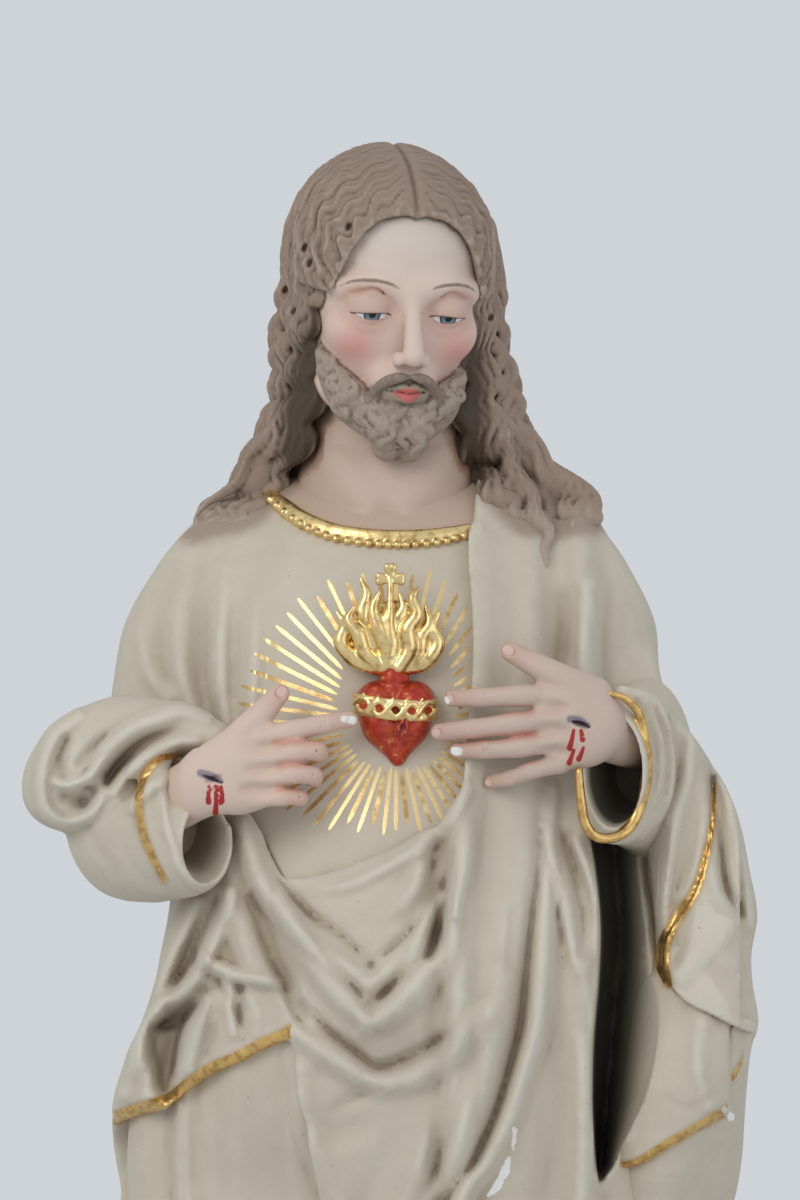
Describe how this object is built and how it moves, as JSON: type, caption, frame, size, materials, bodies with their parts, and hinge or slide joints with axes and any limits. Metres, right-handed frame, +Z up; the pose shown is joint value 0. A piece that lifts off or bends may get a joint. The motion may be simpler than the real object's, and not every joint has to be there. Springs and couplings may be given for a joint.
{
  "type": "sacred heart statue",
  "caption": "Painted plaster statue of a bearded, long-haired standing figure in tunic and mantle, hands raised to a flaming heart on the breast, on a low base.",
  "frame": {"origin": "middle of the base's flat underside", "axes": "+Z up from the underside to the crown, the figure faces -Y, +X towards its left hand (to the right of someone who faces it)"},
  "size_m": [0.3764, 0.28, 1.1992],
  "materials": {
    "painted_plaster": "matt oil paint on plaster, pale stone colour with brown in the creases, with gold leaf on the trims"
  },
  "bodies": {
    "root": {"statue": "painted_plaster"}
  },
  "joints": []
}
